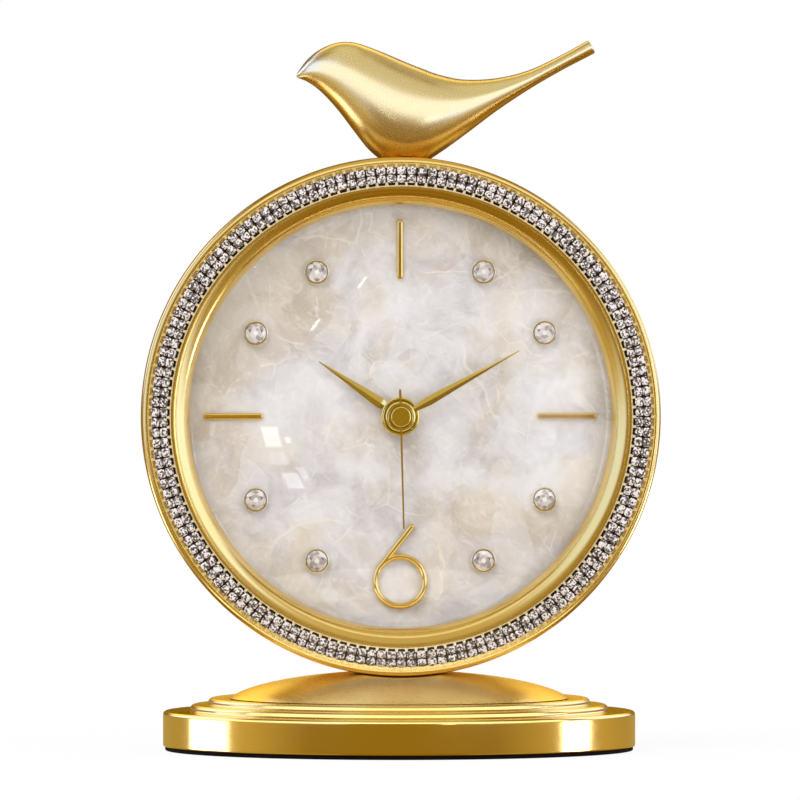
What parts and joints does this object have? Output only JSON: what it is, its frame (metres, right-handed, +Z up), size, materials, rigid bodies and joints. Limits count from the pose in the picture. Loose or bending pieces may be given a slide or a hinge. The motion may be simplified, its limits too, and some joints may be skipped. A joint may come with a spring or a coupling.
{
  "type": "desk clock",
  "caption": "Round gold desk clock with a jewelled bezel, shell dial and domed lens, on a stepped dome base, with a bird on top and a quartz movement behind.",
  "frame": {"origin": "centre of the base pad's underside, on the table", "axes": "+Z up, the dial faces -Y, +X to the right as the dial is read"},
  "size_m": [0.2, 0.182, 0.2735],
  "materials": {
    "satin_gold": "satin brushed gold plate",
    "polished_gold": "polished gold plate",
    "back_gold": "satin gold",
    "cut_crystal": "faceted and polished",
    "lens_glass": "clear polished",
    "pearl_shell": "polished mother-of-pearl",
    "dial_metal": "satin",
    "steel": "bright zinc",
    "battery_jacket": "satin",
    "felt": "short felt",
    "black_plastic": "fine matte",
    "white_plastic": "smooth",
    "brass": "plain",
    "copper_winding": "enamelled copper wire",
    "circuit": "satin",
    "washer_rubber": "matte"
  },
  "bodies": {
    "clock": {"base_shell": "satin_gold", "case_drum": "satin_gold", "bezel": "satin_gold", "bird": "satin_gold", "stone_setting": "polished_gold", "dial_spacer": "polished_gold", "hour_batons": "polished_gold", "crystal_cups": "polished_gold", "numeral_six": "polished_gold", "back_cover": "back_gold", "outer_stones": "cut_crystal", "inner_stones": "cut_crystal", "crystals": "cut_crystal", "lens": "lens_glass", "dial_shell": "pearl_shell", "dial_plate": "dial_metal", "dial_clips": "dial_metal", "base_plate": "steel", "base_plate_screws": "steel", "base_bolt": "steel", "case_nut": "steel", "bird_screw": "steel", "bird_washer": "steel", "dial_clip_screws": "steel", "back_screws": "steel", "contact_positive": "steel", "contact_negative": "steel", "stator": "steel", "coil_core": "steel", "oscillator": "steel", "battery": "battery_jacket", "base_pad": "felt", "movement_tray": "black_plastic", "movement_lid": "black_plastic", "train_plate": "white_plastic", "movement_nut": "brass", "drive_coil": "copper_winding", "circuit_board": "circuit", "movement_washer": "washer_rubber"},
    "second": {"second_hand": "polished_gold", "second_wheel": "white_plastic"},
    "minute": {"minute_hand": "polished_gold", "minute_pipe": "brass", "cannon_pinion": "brass", "friction_washer": "brass"},
    "hour": {"hour_hand": "polished_gold", "hour_wheel": "white_plastic"},
    "minute_gear": {"minute_wheel": "white_plastic"},
    "knob": {"setting_knob": "black_plastic"},
    "centre_gear": {"centre_wheel": "white_plastic"},
    "third_gear": {"third_wheel": "white_plastic"},
    "step_gear": {"step_wheel": "white_plastic"},
    "rotor": {"rotor": "white_plastic"}
  },
  "joints": [
    {"name": "second_spin", "type": "hinge", "parent": "clock", "child": "second", "pos_m": [0, 0, 0.1289], "axis": [0, 1, 0], "continuous": true},
    {"name": "third_spin", "type": "hinge", "parent": "clock", "child": "third_gear", "pos_m": [-0.00883, 0, 0.134], "axis": [0, 1, 0], "continuous": true},
    {"name": "centre_spin", "type": "hinge", "parent": "clock", "child": "centre_gear", "pos_m": [0, 0, 0.1289], "axis": [0, 1, 0], "continuous": true},
    {"name": "step_spin", "type": "hinge", "parent": "clock", "child": "step_gear", "pos_m": [-0.00071, 0, 0.13697], "axis": [0, 1, 0], "continuous": true},
    {"name": "rotor_spin", "type": "hinge", "parent": "clock", "child": "rotor", "pos_m": [0.00039, 0, 0.14317], "axis": [0, 1, 0], "continuous": true},
    {"name": "minute_spin", "type": "hinge", "parent": "clock", "child": "minute", "pos_m": [0, 0, 0.1289], "axis": [0, 1, 0], "continuous": true},
    {"name": "minute_gear_spin", "type": "hinge", "parent": "clock", "child": "minute_gear", "pos_m": [0.00613, 0, 0.13404], "axis": [0, 1, 0], "continuous": true},
    {"name": "hour_spin", "type": "hinge", "parent": "clock", "child": "hour", "pos_m": [0, 0, 0.1289], "axis": [0, 1, 0], "continuous": true},
    {"name": "knob_spin", "type": "hinge", "parent": "clock", "child": "knob", "pos_m": [0.01226, 0, 0.13918], "axis": [0, 1, 0], "continuous": true}
  ],
  "couplings": [
    {"joint": "third_spin", "follows": "second_spin", "ratio": -0.13333},
    {"joint": "centre_spin", "follows": "second_spin", "ratio": 0.016667},
    {"joint": "step_spin", "follows": "second_spin", "ratio": -5},
    {"joint": "rotor_spin", "follows": "second_spin", "ratio": 30},
    {"joint": "minute_gear_spin", "follows": "minute_spin", "ratio": -0.33333},
    {"joint": "hour_spin", "follows": "minute_spin", "ratio": 0.083333},
    {"joint": "knob_spin", "follows": "minute_spin", "ratio": 1}
  ]
}
